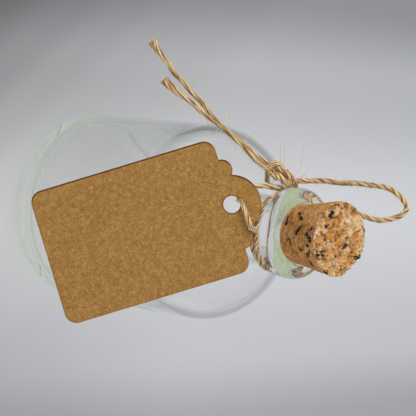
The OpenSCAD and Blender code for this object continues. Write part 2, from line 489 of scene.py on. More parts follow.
@dataclass(frozen=True)
class JuteFibre:
    """Raw jute, spun and plied: dry straw-coloured fibres with a dull sheen and brown shade between them."""

    shade: str = "#6E4B26"
    middle: str = "#BE945E"
    light: str = "#EACE9F"
    patch_size: float = 2.5

    def material(self) -> bpy.types.Material:
        """Builds the material. It reads the numbers that every strand's mesh carries.

        Returns:
            The material.
        """
        material, tree = new_material("jute_fibre")
        place = add_node(tree, "TexCoord")
        fibre, crest = (add_node(tree, "Attribute", {"attribute_name": name}).outputs["Fac"]
                        for name in ("fibre", "crest"))
        patches = add_node(tree, "TexNoise", {"Scale": per_metre(self.patch_size), "Detail": 2.0},
                           {"Vector": place.outputs["Object"]})
        tone = add_node(tree, "Math", {"operation": "MULTIPLY_ADD", 1: 0.6},
                        {0: patches.outputs["Fac"], 2: fibre})
        tint = add_node(tree, "ValToRGB",
                        {"stops": [(0.35, self.shade), (0.75, self.middle), (0.958, self.light)]},
                        {"Fac": tone.outputs[0]})
        grooved = add_node(tree, "Mix", {"data_type": "RGBA", MIX_A: linear(self.shade)},
                           {0: crest, MIX_B: tint.outputs["Color"]})
        skin = add_node(tree, "BsdfPrincipled",
                        {"Roughness": 0.75, "IOR": 1.45, "Sheen Weight": 0.3, "Sheen Roughness": 0.5},
                        {"Base Color": grooved.outputs[MIX_RESULT]})
        add_node(tree, "OutputMaterial", {}, {"Surface": skin.outputs[0]})
        return material


@dataclass(frozen=True)
class Route:
    """A smooth line through given points, in millimetres."""

    points: tuple[Vector, ...]

    def dense(self, steps: int = 16) -> list[Vector]:
        """Gives a Catmull-Rom line through the points.

        Args:
            steps: How many steps the line takes from one point to the next.

        Returns:
            The line's own points.
        """
        knots = [2 * self.points[0] - self.points[1], *self.points, 2 * self.points[-1] - self.points[-2]]
        line = []
        for before, start, end, after in zip(knots, knots[1:], knots[2:], knots[3:]):
            for i in range(steps):
                t = i / steps
                line.append(0.5 * (2 * start + (end - before) * t
                                   + (2 * before - 5 * start + 4 * end - after) * t * t
                                   + (3 * start - before - 3 * end + after) * t ** 3))
        return line + [self.points[-1].copy()]

    def spaced(self, step: float) -> list[Vector]:
        """Gives points along the line at equal distances, the ends among them.

        Args:
            step: The distance that is wanted, in millimetres.

        Returns:
            The points.
        """
        line = self.dense()
        reach = [0.0]
        for a, b in zip(line, line[1:]):
            reach.append(reach[-1] + (b - a).length)
        count = max(2, round(reach[-1] / step))
        points = []
        at = 0
        for i in range(count + 1):
            wanted = reach[-1] * i / count
            while at < len(line) - 2 and reach[at + 1] < wanted:
                at += 1
            share = (wanted - reach[at]) / max(reach[at + 1] - reach[at], 1e-9)
            points.append(line[at].lerp(line[at + 1], min(share, 1.0)))
        return points

    def length(self) -> float:
        """Gives the line's length in millimetres."""
        line = self.dense()
        return sum((b - a).length for a, b in zip(line, line[1:]))


@dataclass(frozen=True)
class Girth:
    """How thick a stretch of twine is along its way, as shares of the full diameter."""

    start: float = 1.0
    middle: float = 1.0
    end: float = 1.0
    run: float = 6.0  # over which an end's thickness passes into the middle's
    pinch: float = 0.0  # by which it is thinner where something presses on it
    pinch_at: float = 0.0  # how far that place is from the start, in millimetres
    pinch_run: float = 5.0

    def at(self, done: float, left: float) -> float:
        """Gives the share at a place.

        Args:
            done: How far the place is from the start, in millimetres.
            left: How far it is from the end.

        Returns:
            The share of the full diameter.
        """
        near_start = 1 - smooth_share(0, self.run, done)
        near_end = 1 - smooth_share(0, self.run, left)
        pinched = 1 - smooth_share(0, self.pinch_run, abs(done - self.pinch_at))
        return (self.middle + (self.start - self.middle) * near_start + (self.end - self.middle) * near_end
                - self.pinch * pinched)


@dataclass(frozen=True)
class PliedTwine:
    """Makes stretches of twine: three plies laid together, with fibre bundles raised on them."""

    diameter: float = 2.1
    plies: int = 3
    lay: float = 8.4  # in which a ply goes once round
    sides: int = 30
    step: float = 0.28
    groove: float = 0.26  # depth of the groove between plies, as a share of the radius
    bundle: float = 0.28  # width of a fibre bundle
    bundle_run: float = 4.0  # length of a fibre bundle
    bundle_height: float = 0.13
    tone: float = 0.5  # of the fibres, from dark to light

    def crest(self, angle: float) -> float:
        """Gives 1 on the back of a ply and 0 in the groove between two plies."""
        return abs(math.cos(self.plies * angle / 2))

    def section(self) -> bpy.types.Object:
        """Makes the flat closed outline that is swept along a route.

        Returns:
            The outline, as a curve of its own.
        """
        curve = bpy.data.curves.new("twine_section", "CURVE")
        curve.dimensions = "2D"
        places = []
        for k in range(self.sides):
            angle = math.tau * k / self.sides
            r = self.diameter / 2 * (1 - self.groove * (1 - self.crest(angle)))
            places.append(around(angle, r))
        add_line(curve, places).use_cyclic_u = True
        return place_in_scene("twine_section", curve)

    def strands(self, lines: Sequence[tuple[Route, Callable[[float, float], float]]],
                seed: float) -> bpy.types.Mesh:
        """Sweeps the section along one or more routes and raises the fibre bundles.

        Args:
            lines: Each strand's middle line, and what gives its girth from how far a place is from its
                start and from its end.
            seed: Where in the noise the strands are, so that no two pieces look alike.

        Returns:
            The mesh, in metres.
        """
        section = self.section()
        curve = new_curve("twine")
        curve.bevel_mode = "OBJECT"
        curve.bevel_object = section
        middles = []
        for route, girth in lines:
            way = route.spaced(self.step)
            length = self.step * (len(way) - 1)
            for i, point in enumerate(add_line(curve, way).points):
                done = self.step * i
                point.tilt = math.tau * done / self.lay
                point.radius = girth(done, length - done)
            middles += way
        mesh = evaluated_mesh(place_in_scene("twine", curve))
        bpy.data.objects.remove(section)
        self.raise_fibres(mesh, middles, seed)
        return closed_tubes(mesh)

    def raise_fibres(self, mesh: bpy.types.Mesh, middles: Sequence[Vector], seed: float) -> None:
        """Lifts and sinks fibre bundles along the swept strands, and notes their tone for the material.

        Args:
            mesh: The swept mesh, ring by ring.
            middles: The rings' middles, in millimetres.
            seed: Where in the noise these strands are.
        """
        fibre, crest = vertex_values(mesh, "fibre", "crest")
        across = self.diameter / 2 / self.bundle
        for vert in mesh.vertices:
            ring, k = divmod(vert.index, self.sides)
            angle = math.tau * k / self.sides
            round_it = around(angle, across)
            along = Vector((0, 0, self.step * ring / self.bundle_run + seed))
            lift = noise.noise(round_it + along)
            fine = noise.noise(2.3 * round_it + 2 * along + Vector((0, 0, 40)))
            out = vert.co - middles[ring] * MM
            vert.co += out.normalized() * (0.6 * lift + 0.5 * fine) * self.bundle_height * MM
            fibre[vert.index].value = self.tone + 0.4 * lift + 0.8 * fine
            crest[vert.index].value = smooth_share(0.0, 0.75, self.crest(angle) + 0.4 * fine)


@dataclass
class Fuzz:
    """Loose fibres that stand out from the twine."""

    seed: int = 7
    thickness: float = 0.08
    thin_end: float = 0.4  # a fibre's thickness at its tip, as a share
    tone: float = 0.85
    steps: int = 6  # from a fibre's root to its tip
    root_at: float = 0.85  # a root's distance from the twine's middle, as a share of the radius
    lean: tuple[float, float] = (-1.2, 1.6)  # back or ahead along the twine, against 1 outwards
    spread: tuple[float, float] = (-0.25, 0.55)  # of the lengths: mean and deviation of their logarithm
    curl: tuple[float, float] = (0.08, 0.4)
    brush: tuple[float, float] = (0.7, 1.7)  # shortest and longest fibre of a cut end
    brush_lean: float = 0.35  # outwards, against 1 ahead
    brush_curl: float = 0.05
    strands: list[list[Vector]] = field(default_factory=list)

    def __post_init__(self) -> None:
        """Starts the fibres' own random draws."""
        self.random = random.Random(self.seed)

    def hair(self, root: Vector, way: Vector, length: float, curl: float) -> None:
        """Adds one fibre.

        Args:
            root: Where it starts, in millimetres.
            way: The direction in which it starts.
            length: Its length.
            curl: How far its direction wanders from one of its points to the next.
        """
        points = [root.copy()]
        heading = way.normalized()
        for _ in range(self.steps):
            points.append(points[-1] + heading * length / self.steps)
            wander = Vector([self.random.gauss(0, 1) for _ in range(3)])
            heading = (heading + curl * wander).normalized()
        self.strands.append(points)

    def sideways(self, ahead: Vector) -> Vector:
        """Draws a direction square to the twine's own."""
        side = ahead.orthogonal().normalized()
        side.rotate(Matrix.Rotation(self.random.uniform(0, math.tau), 3, ahead))
        return side

    def along(self, route: Route, per_mm: float, length: float, radius: float,
              outward: Callable[[Vector], Vector] | None = None) -> None:
        """Adds fibres along a stretch of twine.

        Args:
            route: The twine's middle line.
            per_mm: How many fibres stand out from each millimetre.
            length: Their mean length.
            radius: The twine's radius.
            outward: Gives the direction that is free at a place. Fibres on the other side are left out.
        """
        way = route.spaced(1.0)
        for here, there in zip(way, way[1:]):
            ahead = (there - here).normalized()
            for _ in range(int(per_mm) + (self.random.random() < per_mm % 1)):
                side = self.sideways(ahead)
                lean = ahead * self.random.uniform(*self.lean)
                size = length * self.random.lognormvariate(*self.spread)
                curl = self.random.uniform(*self.curl)
                root = here.lerp(there, self.random.random()) + side * radius * self.root_at
                free = outward(root) if outward else side
                if side.dot(free) > 0.1:
                    self.hair(root, side + lean, size, curl)

    def tip(self, route: Route, count: int, radius: float) -> None:
        """Adds the brush of cut fibres at a stretch's loose end.

        Args:
            route: The twine's middle line.
            count: How many fibres the brush has.
            radius: The brush's radius.
        """
        way = route.spaced(0.5)
        ahead = (way[-1] - way[-3]).normalized()
        for _ in range(count):
            side = self.sideways(ahead)
            root = way[-1] - ahead * 0.5 + side * radius * math.sqrt(self.random.random())
            way_out = ahead + side * self.brush_lean * self.random.random()
            self.hair(root, way_out, self.random.uniform(*self.brush), self.brush_curl)

    def mesh(self) -> bpy.types.Mesh:
        """Makes all the fibres as one mesh of thin closed tubes.

        Returns:
            The mesh, in metres.
        """
        curve = new_curve("fibres")
        curve.bevel_depth = self.thickness / 2 * MM
        curve.bevel_resolution = 0
        for places in self.strands:
            for i, point in enumerate(add_line(curve, places).points):
                point.radius = 1.0 - (1.0 - self.thin_end) * i / (len(places) - 1)
        mesh = evaluated_mesh(place_in_scene("fibres", curve))
        for values, value in zip(vertex_values(mesh, "fibre", "crest"), (self.tone, 1.0)):
            values.foreach_set("value", [value] * len(values))
        return closed_tubes(mesh)


@dataclass(frozen=True)
class GlassBottle:
    """The bottle, blown in one piece: side, round shoulder, neck, rolled lip and hollow base."""

    body_r: float = 30.5
    side_h: float = 61.0
    shoulder_r: float = 21.0
    heel_r: float = 6.0
    wall: float = 2.2
    base_t: float = 5.0
    floor_r: float = 8.0
    foot_r: float = 22.0
    punt_h: float = 1.8
    neck_r: float = 10.5
    bore_r: float = 8.7
    neck_h: float = 14.8
    throat_r: float = 3.0
    lip_r: float = 13.5
    lip_h: float = 6.2
    lip_roll_r: float = 2.4
    mouth_r: float = 1.0
    groove_r: float = 0.6  # of the soft corner under the lip
    turn_steps: int = 176
    wave: float = 0.1  # by which the inside wanders from a true round
    wave_from: tuple[float, float] = (8.0, 16.0)  # heights between which the waves set in
    wave_to: tuple[float, float] = (74.0, 82.0)  # and between which they end
    wave_kinds: tuple[tuple[float, ...], ...] = ((1.6, 22.0, 34.0, 0.0), (0.5, 9.0, 20.0, 7.0))

    @property
    def lip_z(self) -> float:
        """Height of the lip's underside."""
        return self.side_h + self.shoulder_r + self.neck_h

    @property
    def mouth_z(self) -> float:
        """Height of the mouth."""
        return self.lip_z + self.lip_h

    def shoulder(self, arc_r: float, corner_r: float) -> list[Vector]:
        """Gives the shoulder and the hollow corner above it, from the side to the neck.

        Args:
            arc_r: The shoulder's radius.
            corner_r: The corner's radius, on the same middle line for both sides of the glass.

        Returns:
            The points.
        """
        shoulder_x = self.body_r - self.shoulder_r
        throat_x = self.neck_r + self.throat_r
        corner_z = self.side_h + math.sqrt((arc_r + corner_r) ** 2 - (throat_x - shoulder_x) ** 2)
        touch = math.degrees(math.atan2(corner_z - self.side_h, throat_x - shoulder_x))
        return (arc(shoulder_x, self.side_h, arc_r, 0, touch, 30)
                + arc(throat_x, corner_z, corner_r, touch + 180, 180, 10)[1:])

    def outside(self) -> list[Vector]:
        """Gives the outer section.

        Returns:
            The points, from the middle of the base up to the mouth.
        """
        ball_r = (self.foot_r ** 2 + self.punt_h ** 2) / (2 * self.punt_h)
        reach = math.degrees(math.asin(self.foot_r / ball_r))
        roll_x = self.lip_r - self.lip_roll_r
        return (
            arc(0, self.punt_h - ball_r, ball_r, 90, 90 - reach, 12)
            + arc(self.body_r - self.heel_r, self.heel_r, self.heel_r, -90, 0, 12)
            + upright(self.body_r, self.heel_r, self.side_h)
            + self.shoulder(self.shoulder_r, self.throat_r)
            + arc(self.neck_r + self.groove_r, self.lip_z - self.groove_r, self.groove_r, 180, 90, 5)
            + arc(roll_x, self.lip_z + self.lip_roll_r, self.lip_roll_r, -90, 0, 14)
            + arc(roll_x, self.mouth_z - self.lip_roll_r, self.lip_roll_r, 0, 90, 14))

    def inside(self) -> list[Vector]:
        """Gives the inner section.

        Returns:
            The points, from the mouth down to the middle of the floor.
        """
        inner_r = self.body_r - self.wall
        corner_r = self.neck_r + self.throat_r - self.bore_r
        low = self.base_t + self.floor_r
        return (
            arc(self.bore_r + self.mouth_r, self.mouth_z - self.mouth_r, self.mouth_r, 90, 180, 8)
            + self.shoulder(self.shoulder_r - self.wall, corner_r)[::-1]
            + upright(inner_r, self.side_h, low)
            + arc(inner_r - self.floor_r, low, self.floor_r, 0, -90, 12)
            + [Vector((0, 0, self.base_t))])

    def waved(self, place: Vector) -> float:
        """Gives how far the inside lies outwards of a true round, as blown glass is never even.

        Args:
            place: A point of the true round, in millimetres.

        Returns:
            The distance in millimetres. It is nothing at the floor and in the neck.
        """
        free = smooth_share(*self.wave_from, place.z) * (1 - smooth_share(*self.wave_to, place.z))
        return free * self.wave * sum(
            share * noise.noise(Vector((place.x / wide, place.y / wide, place.z / tall + shift)))
            for share, wide, tall, shift in self.wave_kinds)

    def build(self, finish: BlownGlass) -> bpy.types.Object:
        """Makes the bottle and puts it in the scene.

        Args:
            finish: The glass.

        Returns:
            The piece.
        """
        shell = spun(self.outside() + self.inside(), self.turn_steps)
        inner_r = self.body_r - self.wall
        # Only the inner wall of the side and of the shoulder wanders.
        for vert in shell.verts:
            place = vert.co / MM
            r = math.hypot(place.x, place.y)
            from_shoulder = math.hypot(r - (self.body_r - self.shoulder_r), place.z - self.side_h)
            within = abs(r - inner_r) < 0.01 or (
                place.z > self.side_h and abs(from_shoulder - self.shoulder_r + self.wall) < 0.01)
            if within and r > 1:
                out = Vector((place.x, place.y, 0)).normalized()
                vert.co += out * self.waved(place) * MM
        return show("bottle_glass", to_mesh(shell, "bottle_glass"), finish.material(), Body.BOTTLE,
                    Slot.GLASS, ["glass_bottle"])


@dataclass(frozen=True)
class Fleck:
    """A dark piece of bark in the cork: a short rod between two points, in millimetres."""

    start: tuple[float, float, float]
    end: tuple[float, float, float]
    radius: float

    def distance(self, place: Vector) -> float:
        """Measures from a place to the rod's middle line.

        Args:
            place: The place, in millimetres.

        Returns:
            The distance in millimetres.
        """
        start, end = Vector(self.start), Vector(self.end)
        along = end - start
        share = min(max((place - start).dot(along) / along.length_squared, 0.0), 1.0)
        return (place - start - along * share).length


# The bark that the photograph shows, on the cork's side and on its end.
BARK_ON_SIDE = tuple(Fleck(*row) for row in (
    ((-6.2, -7.2, 107.4), (-4.4, -8.9, 110.3), 0.40), ((-2.0, -9.8, 110.8), (-0.3, -9.8, 109.6), 0.55),
    ((-1.5, -10.5, 115.1), (-2.0, -10.6, 116.1), 0.35), ((-0.3, -10.5, 114.1), (0.5, -10.6, 115.0), 0.45),
    ((0.7, -10.6, 115.2), (1.1, -10.8, 116.4), 0.50), ((2.3, -8.9, 105.5), (1.9, -9.1, 106.4), 0.35),
    ((1.9, -9.1, 106.4), (3.0, -8.9, 107.1), 0.35), ((-4.5, -7.7, 103.5), (-2.4, -8.6, 104.0), 0.45),
    ((4.7, -9.5, 115.1), (6.1, -8.5, 114.2), 0.35), ((7.5, -7.3, 114.0), (8.3, -6.3, 113.8), 0.40),
    ((8.5, -6.1, 114.3), (8.9, -5.8, 115.1), 0.40), ((2.7, -10.1, 114.1), (2.9, -10.2, 114.8), 0.30),
    ((3.9, -9.2, 111.1), (4.6, -8.9, 111.4), 0.30)))
BARK_HEIGHT = 117.4
BARK_ON_END = tuple(Fleck((x, y, BARK_HEIGHT), (to_x, to_y, BARK_HEIGHT), r) for x, y, to_x, to_y, r in (
    (-7.1, -4.7, -6.1, -4.4, 0.65), (-8.2, -5.6, -7.4, -5.0, 0.30), (-3.4, -6.8, -3.0, -5.9, 0.30),
    (-3.0, -5.9, -3.5, -5.1, 0.30), (4.5, -8.5, 5.0, -8.0, 0.42), (4.2, -6.2, 5.0, -5.9, 0.48),
    (0.5, -5.5, 1.8, -5.6, 0.35), (4.6, 8.2, 4.8, 9.5, 0.60), (2.1, 2.5, 1.7, 3.3, 0.36),
    (-3.6, 9.9, -3.0, 10.0, 0.35), (-10.1, -2.5, -9.4, -2.0, 0.40), (9.6, -4.4, 9.9, -3.7, 0.40)))


@dataclass(frozen=True)
class CorkStopper:
    """The tapered cork, with crumbled granules on its end and a flat broken off its edge."""

    top_r: float = 11.0
    seat_r: float = 8.65
    top_z: float = 117.6
    seat_z: float = 102.0
    low_z: float = 97.0
    edge: float = 0.25
    chip_turn: float = 42.0
    chip_depth: float = 1.0
    chip_h: float = 7.0
    granule: float = 2.6
    crumb: float = 1.15
    bark_size: float = 1.0
    bark_share: float = 0.025  # of the small grains that are bark
    pit_spacing: float = 1.25
    pit_width: float = 0.38
    # How far the granules' edges wander, and over what length.
    wander: tuple[tuple[float, float], ...] = ((0.5, 1.5), (0.25, 0.45))
    open_patch: float = 2.4  # size of the patches whose seams are open
    rough_size: float = 0.5
    streak_size: tuple[float, float] = (1.2, 0.45)  # of the streaks round the side: length and height
    voxel: float = 0.18
    flecks: tuple[Fleck, ...] = BARK_ON_SIDE + BARK_ON_END

    @property
    def slope(self) -> float:
        """How much the radius grows with each millimetre of height."""
        return (self.top_r - self.seat_r) / (self.top_z - self.seat_z)

    def blank(self) -> bpy.types.Object:
        """Turns the cork's outline and breaks the flat off its edge.

        Returns:
            The plain cork.
        """
        low_r = self.seat_r - (self.seat_z - self.low_z) * self.slope
        rise = self.edge * self.slope
        shell = spun([Vector(p) for p in (
            (0, 0, self.low_z), (low_r - self.edge, 0, self.low_z), (low_r + rise, 0, self.low_z + self.edge),
            (self.top_r - rise, 0, self.top_z - self.edge), (self.top_r - self.edge, 0, self.top_z),
            (0, 0, self.top_z))], 96)
        lean = math.atan(self.chip_depth / self.chip_h)
        away = around(math.radians(self.chip_turn))
        across = away * math.cos(lean) + Vector((0, 0, math.sin(lean)))
        place = (away * (self.top_r - self.chip_depth) + Vector((0, 0, self.top_z))) * MM
        cut = bmesh.ops.bisect_plane(shell, geom=shell.verts[:] + shell.edges[:] + shell.faces[:],
                                     plane_co=place, plane_no=across, clear_outer=True)
        rim = [e for e in cut["geom_cut"] if isinstance(e, bmesh.types.BMEdge)]
        bmesh.ops.holes_fill(shell, edges=rim)
        return place_in_scene("cork_blank", to_mesh(shell, "cork_blank"))

    def grains(self, place: Vector, size: float, shift: float) -> tuple[float, float]:
        """Reads one size of granules at a place.

        Args:
            place: A point in millimetres, already bent so that the granules are ragged.
            size: The granules' width.
            shift: Where in the pattern this size is.

        Returns:
            The granule's own number from 0 to 1, and how close the seam round it is, from 0 to 1.
        """
        reach, seeds = noise.voronoi(place / size + Vector((shift, shift / 2, shift / 3)))
        own = noise.cell(seeds[0] * 13.7 + Vector((0.3, 0.3, 0.3))) % 1.0
        return own, 1 - smooth_share(0.02, 0.2, reach[1] - reach[0])

    def bark_at(self, place: Vector, bent: Vector) -> float:
        """Gives how much bark is at a place.

        Args:
            place: The place, in millimetres.
            bent: The same place, bent as for the granules.

        Returns:
            The share, from 0 to 1.
        """
        ragged = 0.7 * noise.noise(place / 0.7) + 0.4 * noise.noise(place / 0.35)
        near = min(f.distance(place) - 1.15 * f.radius for f in self.flecks)
        reach, seeds = noise.voronoi(bent / self.bark_size + Vector((5.2, 1.3, 8.1)))
        chosen = noise.cell(seeds[0] * 9.1) % 1.0 < self.bark_share
        small = (reach[0] - 0.36) * self.bark_size if chosen else 1.0
        return 1 - smooth_share(-0.08, 0.12, min(near, small) + ragged)

    def pit_at(self, bent: Vector) -> float:
        """Gives how deep a small hole between crumbs is at a bent place, from 0 to 1."""
        reach, seeds = noise.voronoi(bent / self.pit_spacing + Vector((1.7, 9.2, 4.4)))
        width = self.pit_width * (0.4 + noise.cell(seeds[0] * 5.3) % 1.0)
        return 1 - smooth_share(0.5 * width, width, reach[0] * self.pit_spacing)

    def surface_at(self, place: Vector, upward: float) -> tuple[float, float, float, float]:
        """Works out the cork's surface at a place.

        The crumbs stand out on its end and are cut flat on its side.

        Args:
            place: The place on the plain cork, in millimetres.
            upward: How far the surface faces up there, from -1 to 1.

        Returns:
            How far the surface stands out in millimetres, the granules' tone, and how much of it is
            seam and bark, each from 0 to 1.
        """
        end = smooth_share(0.25, 0.75, upward) * smooth_share(self.top_z - 3, self.top_z - 1, place.z)
        side = 1 - end
        free = smooth_share(self.seat_z, self.seat_z + 1.5, place.z)  # of the bore, where nothing crumbles
        flat = Vector((place.x, place.y, place.z * (1 + 1.3 * side)))
        bent = flat + sum((far * noise.noise_vector(place / over) for far, over in self.wander), Vector())
        large, large_seam = self.grains(bent, self.granule, 0.0)
        small, small_seam = self.grains(bent, self.crumb, 4.0)
        open_seams = smooth_share(-0.1, 0.35, noise.noise(place / self.open_patch + Vector((3, 7, 1))))
        crack = max(large_seam, 0.8 * small_seam) * open_seams * free
        pit = self.pit_at(bent) * free
        dark = self.bark_at(place, bent) * free
        rough = noise.noise(place / self.rough_size)
        run, height = self.streak_size
        round_it = Vector((place.x / run, place.y / run, place.z / height))
        slit = free * smooth_share(0.3, 0.5, noise.noise(0.9 * round_it + Vector((9, 4, 2))))
        relief = end * (0.6 * (large - 0.4) + 0.35 * (small - 0.5) - 0.4 * crack - 0.5 * pit + 0.14 * rough)
        relief -= side * free * (0.08 * large + 0.12 * crack + 0.15 * max(dark, pit) + 0.06 * small)
        tone = 0.5 * large + 0.4 * small + 0.12 * rough + 0.5 * side * noise.noise(round_it)
        # the granules are drawn lighter on the end than on the side
        tone = tone * (0.65 + 0.25 * end) + 0.17 + 0.07 * end
        seam = max(crack * (0.35 + 0.35 * end), pit * (0.45 + 0.4 * end), 0.7 * slit * side)
        return relief, min(max(tone, 0.0), 1.0), seam, dark

    def build(self, finish: PressedCork) -> bpy.types.Object:
        """Makes the cork and puts it in the scene.

        Args:
            finish: The cork's material.

        Returns:
            The piece.
        """
        blank = self.blank()
        remesh = blank.modifiers.new("grid", "REMESH")
        remesh.mode = "VOXEL"
        remesh.voxel_size = self.voxel * MM
        mesh = evaluated_mesh(blank)
        layers = vertex_values(mesh, "granule", "seam", "bark")
        normals = [v.normal.copy() for v in mesh.vertices]
        for vert, normal in zip(mesh.vertices, normals):
            relief, *values = self.surface_at(vert.co / MM, normal.z)
            vert.co += normal * relief * MM
            for layer, value in zip(layers, values):
                layer[vert.index].value = value
        return show("cork_body", mesh, finish.material(), Body.CORK, Slot.CORK, ["cork_stopper"])


@dataclass(frozen=True)
class KraftTag:
    """The die-cut tag: a card with a round head, a scallop on each side of it and a punched hole."""

    width: float = 40.0
    length: float = 55.7
    thickness: float = 0.5
    corner_r: float = 3.5
    head_r: float = 8.6
    scallop_r: float = 3.2
    scallop_x: float = 10.3
    hole_r: float = 2.5
    tilt: float = 43.25
    turn: float = 24.0
    rim: float = 0.42  # width of the darker rim, painted shade along the upper edges
    fade: float = 0.1
    hole_brown: float = 0.6  # how brown the rim is round the hole, as a share
    low_brown: float = 0.15  # and along the lower edges
    bevel: float = 0.08
    bevel_from: float = 1.2  # angle between two faces, in radians, from which their edge is bevelled

    def own_turn(self) -> Matrix:
        """Gives the turn from the tag's own frame into the bottle's."""
        return (Matrix.Rotation(math.radians(self.tilt), 4, "X")
                @ Matrix.Rotation(math.radians(self.turn), 4, "Z"))

    def outline(self) -> list[Vector]:
        """Gives the card's outline in its own frame, with the hole's middle at the origin.

        Returns:
            The points, against the clock.
        """
        x = self.width / 2 - self.corner_r
        low = self.corner_r - self.length
        notch_x = (self.head_r ** 2 - self.scallop_r ** 2 + self.scallop_x ** 2) / (2 * self.scallop_x)
        notch_y = math.sqrt(self.head_r ** 2 - notch_x ** 2)
        scallop_end = math.degrees(math.atan2(notch_y, notch_x - self.scallop_x))
        head_start = math.degrees(math.atan2(notch_y, notch_x))
        section = (arc(-x, low, self.corner_r, 180, 270, 8) + arc(x, low, self.corner_r, 270, 360, 8)
                   + arc(x, -self.corner_r, self.corner_r, 0, 90, 8)
                   + arc(self.scallop_x, 0, self.scallop_r, 0, scallop_end, 14)
                   + arc(0, 0, self.head_r, head_start, 180 - head_start, 36)[1:]
                   + arc(-self.scallop_x, 0, self.scallop_r, 180 - scallop_end, 180, 14)[1:]
                   + arc(-x, -self.corner_r, self.corner_r, 90, 180, 8))
        return [Vector((p.x, p.z, 0)) for p in section]

    def flat(self) -> bmesh.types.BMesh:
        """Makes the card in its own frame, with two narrow bands of faces along every edge.

        Returns:
            The card, in metres.
        """
        card = bmesh.new()
        hole = [Vector((p.x, p.z, 0)) for p in arc(0, 0, self.hole_r, 0, 360, 48)[:-1]]
        for points in (self.outline(), hole):
            ring = [card.verts.new(p * MM) for p in points]
            for pair in zip(ring, ring[1:] + ring[:1]):
                card.edges.new(pair)
        bmesh.ops.triangle_fill(card, use_beauty=True, edges=card.edges[:])
        band: set[bmesh.types.BMFace] = set()
        for width in (self.rim, self.fade):
            inner = [f for f in card.faces if f not in band]
            band |= set(bmesh.ops.inset_region(card, faces=inner, thickness=width * MM, use_even_offset=True,
                                               use_boundary=True)["faces"])
        bmesh.ops.recalc_face_normals(card, faces=card.faces)
        bmesh.ops.translate(card, verts=card.verts[:], vec=(0, 0, -self.thickness / 2 * MM))
        grown = bmesh.ops.extrude_face_region(card, geom=card.faces[:], use_keep_orig=True)
        raised = [v for v in grown["geom"] if isinstance(v, bmesh.types.BMVert)]
        bmesh.ops.translate(card, verts=raised, vec=(0, 0, self.thickness * MM))
        bmesh.ops.recalc_face_normals(card, faces=card.faces)
        sharp = [e for e in card.edges if len(e.link_faces) == 2 and e.calc_face_angle() > self.bevel_from]
        bmesh.ops.bevel(card, geom=sharp, offset=self.bevel * MM, segments=2, profile=0.5, affect="EDGES",
                        material=-1)
        return card

    def rim_and_painted_shade_share(self, place: Vector) -> float:
        """Gives how dark the rim is at a place: most along the card's upper edges, where it is painted shade.

        Args:
            place: The place in the card's own frame, in millimetres.

        Returns:
            The share, from 0 to 1.
        """
        flat = Vector((place.x, place.y, 0))
        reach = self.rim + self.fade / 2
        if abs(flat.length - self.hole_r) < reach:
            return self.hole_brown
        points = self.outline()
        for a, b in zip(points, points[1:] + points[:1]):
            share = min(max(intersect_point_line(flat, a, b)[1], 0.0), 1.0)
            if (flat - a.lerp(b, share)).length < reach:
                # painted shade: the edges that face up in the picture are darkest
                outward = (b - a).normalized().cross(Vector((0, 0, 1)))
                return self.low_brown + (1 - self.low_brown) * smooth_share(0.1, 0.6, -outward.x)
        return 0.0

    def build(self, finish: KraftCard) -> tuple[bpy.types.Object, Matrix]:
        """Makes the tag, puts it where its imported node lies, and dresses it.

        Args:
            finish: The card.

        Returns:
            The piece, and the place and turn of its own frame with the hole's middle as origin.
        """
        card = self.flat()
        turn = self.own_turn()
        # how dark the rim is, painted shade along the upper edges, for the material
        rim = card.verts.layers.float.new("rim")
        for vert in card.verts:
            vert[rim] = self.rim_and_painted_shade_share(vert.co / MM)
        bmesh.ops.transform(card, matrix=turn, verts=card.verts)
        low = Vector([min(v.co[i] for v in card.verts) for i in range(3)])
        offset = Vector(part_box("kraft_tag")[0]) - low
        bmesh.ops.translate(card, verts=card.verts, vec=offset)
        place = Matrix.Translation(offset / MM) @ turn
        piece = show("tag_card", to_mesh(card, "tag_card"), finish.material(turn), Body.BOTTLE, Slot.CARD,
                     ["kraft_tag"])
        for face in piece.data.polygons:
            face.use_smooth = False
        return piece, place


# The middle lines of the stretches of twine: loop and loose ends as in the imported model, from the turns'
# middle, and the tie in the tag's own frame, where it lies on the hole's rim, which its solid clears.
LOOP_POINTS = ((-15, -0.5, 0), (-15.5, 2.5, 2), (-16, 5.5, 4), (-16.5, 9.5, 6), (-16.5, 13.5, 8.5),
               (-17, 17, 11.5), (-17, 20.5, 14), (-17, 22.5, 16), (-16.5, 25, 18), (-15, 27, 20),
               (-13, 28.5, 21.5), (-11.5, 29, 22), (-9.5, 28, 21.5), (-8, 26.5, 19.5), (-7, 24, 17.5),
               (-7, 22, 15.5), (-7.5, 20, 13.5), (-8.5, 18, 11), (-9, 16.5, 8.5), (-9, 15, 6),
               (-8.5, 13.5, 3), (-7.5, 11, 0.5), (-6.5, 9.5, 0))
LONG_POINTS = ((-16, -1.6, -1.9), (-18.8, -5, -3.8), (-20.7, -7.7, -5.8), (-22.6, -9.8, -7.7),
               (-25.2, -12.4, -10.2), (-28.2, -15.9, -13.7), (-31.3, -18.9, -16.2), (-34.8, -21.5, -18.5),
               (-36.8, -23.5, -20), (-38.6, -25, -21.5), (-40.5, -26.5, -23), (-42.5, -28.5, -24.5),
               (-45, -30, -26), (-47.5, -32, -27.5), (-49.5, -33, -29), (-51, -34, -29.5))
SHORT_POINTS = ((-15, -3.7, -1.1), (-17.3, -6.5, -2.6), (-19.6, -9.4, -4.6), (-21.9, -11.8, -6.2),
                (-24.7, -14.2, -8.7), (-28.1, -17.7, -12.2), (-30.4, -20.7, -14.7), (-31.8, -22.5, -16.5),
                (-33, -24, -17.5), (-34.5, -25.5, -19), (-36, -27.5, -20.5), (-37.5, -29.5, -22.5),
                (-39, -31, -24), (-40, -32, -24.5))
